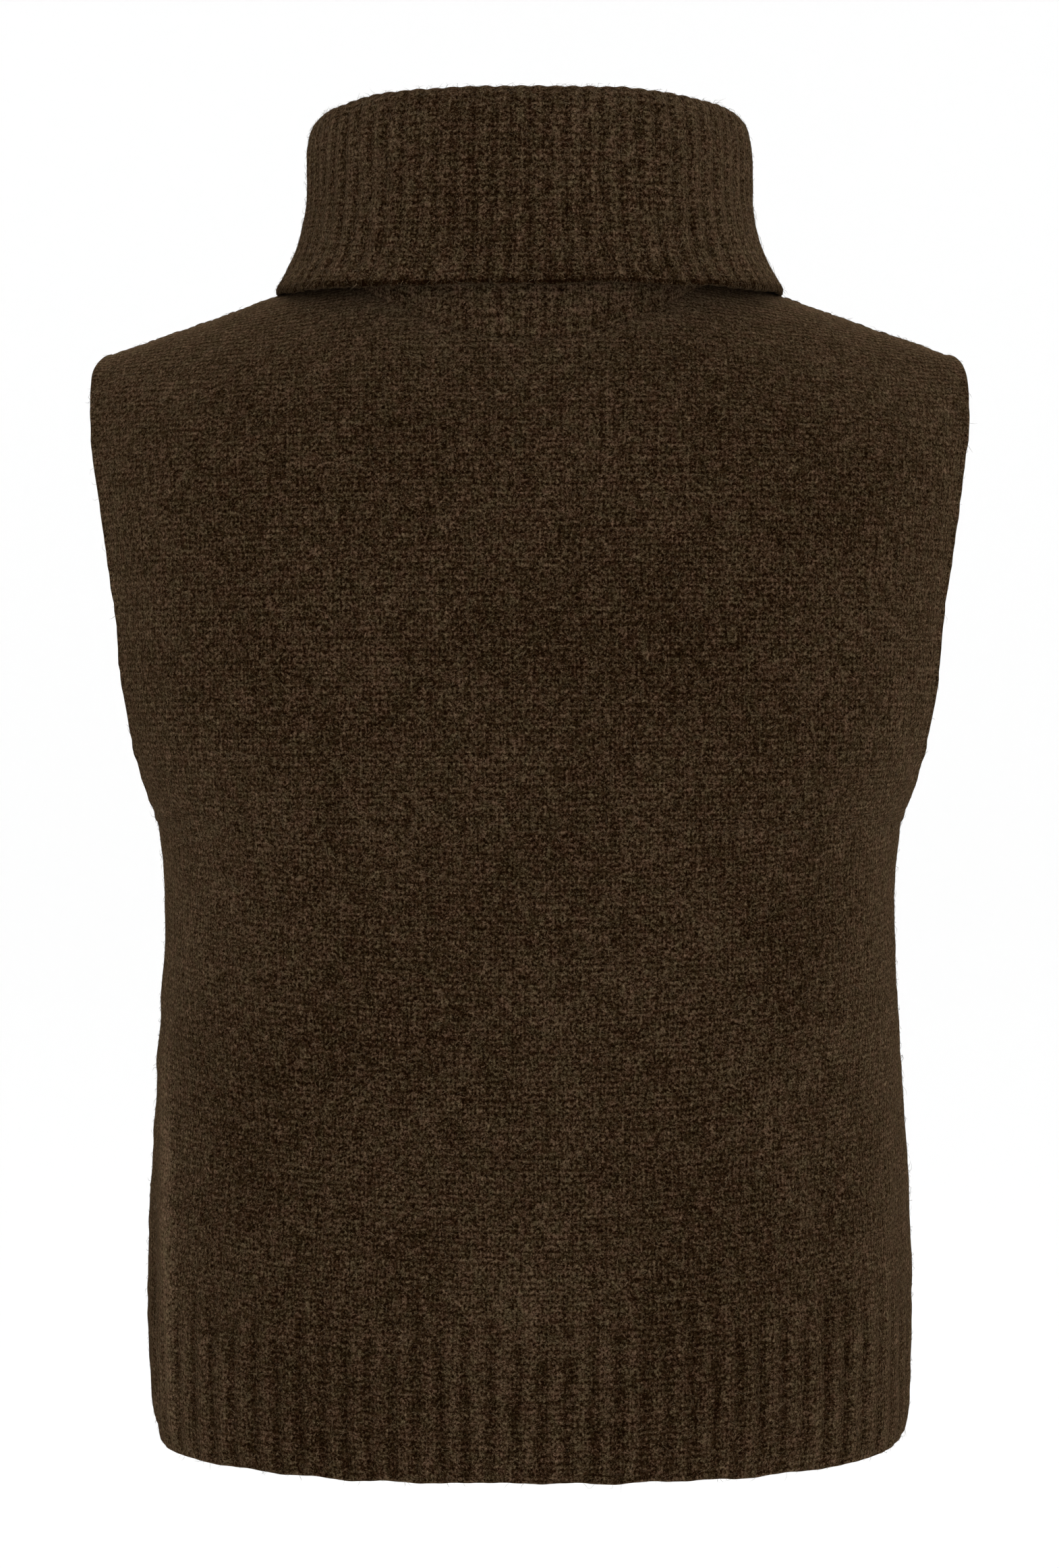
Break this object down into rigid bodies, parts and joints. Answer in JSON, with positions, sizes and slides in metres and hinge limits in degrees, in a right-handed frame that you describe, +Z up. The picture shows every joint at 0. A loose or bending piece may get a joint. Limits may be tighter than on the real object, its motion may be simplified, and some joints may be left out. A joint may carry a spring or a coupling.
{
  "type": "knitted sweater vest",
  "caption": "Sleeveless cropped wool sweater vest with a high folded ribbed roll neck and a deep ribbed hem, filled out as worn with nobody in it.",
  "frame": {"origin": "midway between the two high points of the shoulders, where the wearer carries the garment", "axes": "+Z up, +Y towards the wearer's front, +X towards the wearer's right"},
  "size_m": [0.4014, 0.2436, 0.6136],
  "materials": {
    "wool_jersey": "brushed dark brown wool jersey",
    "wool_rib": "brushed dark brown wool rib"
  },
  "bodies": {
    "root": {"back": "wool_jersey", "front": "wool_jersey", "collar": "wool_rib"}
  },
  "joints": []
}
